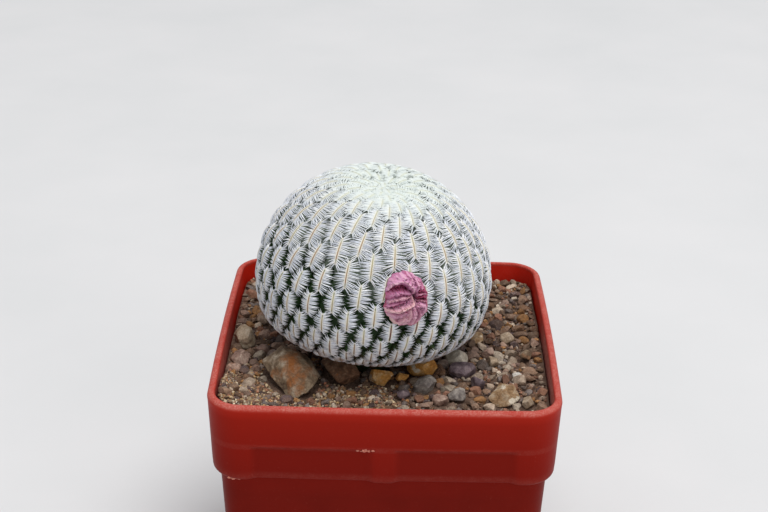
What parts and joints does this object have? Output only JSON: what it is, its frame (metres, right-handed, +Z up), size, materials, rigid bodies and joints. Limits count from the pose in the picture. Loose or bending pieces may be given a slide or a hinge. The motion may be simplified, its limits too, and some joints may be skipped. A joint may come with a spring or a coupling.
{
  "type": "potted mammillaria pectinifera",
  "caption": "Round comb-spined cactus with one withered pink flower, in gritty soil in a square plastic nursery pot.",
  "frame": {"origin": "centre of the pot's flat base", "axes": "+Z up; -Y is the pot's front side, the one that the picture shows; +X is the picture's right"},
  "size_m": [0.0656, 0.0656, 0.0922],
  "materials": {
    "pot_plastic": "satin, worn at the lip",
    "gritty_soil": "matt, coarse grit",
    "brown_stone": "matt",
    "ochre_stone": "matt",
    "pale_stone": "matt",
    "grey_stone": "matt",
    "beige_stone": "matt",
    "cactus_skin": "matt, waxy",
    "spines": "chalky white",
    "areoles": "matt",
    "petals": "dry, crumpled",
    "flower_tube": "dry"
  },
  "bodies": {
    "root": {"pot": "pot_plastic", "soil": "gritty_soil", "stone_brown_long": "brown_stone", "stone_brown_mid": "brown_stone", "stone_ochre_front": "ochre_stone", "stone_ochre_left": "ochre_stone", "stone_grey_front": "grey_stone", "stone_purple_grey": "grey_stone", "stone_pale_grey": "pale_stone", "stone_ochre_right": "ochre_stone", "stone_ochre_back": "ochre_stone", "stone_beige_left": "beige_stone", "stone_pink_left": "beige_stone", "cactus_head": "cactus_skin", "flower_petals": "petals", "flower_tube": "flower_tube"}
  },
  "joints": []
}
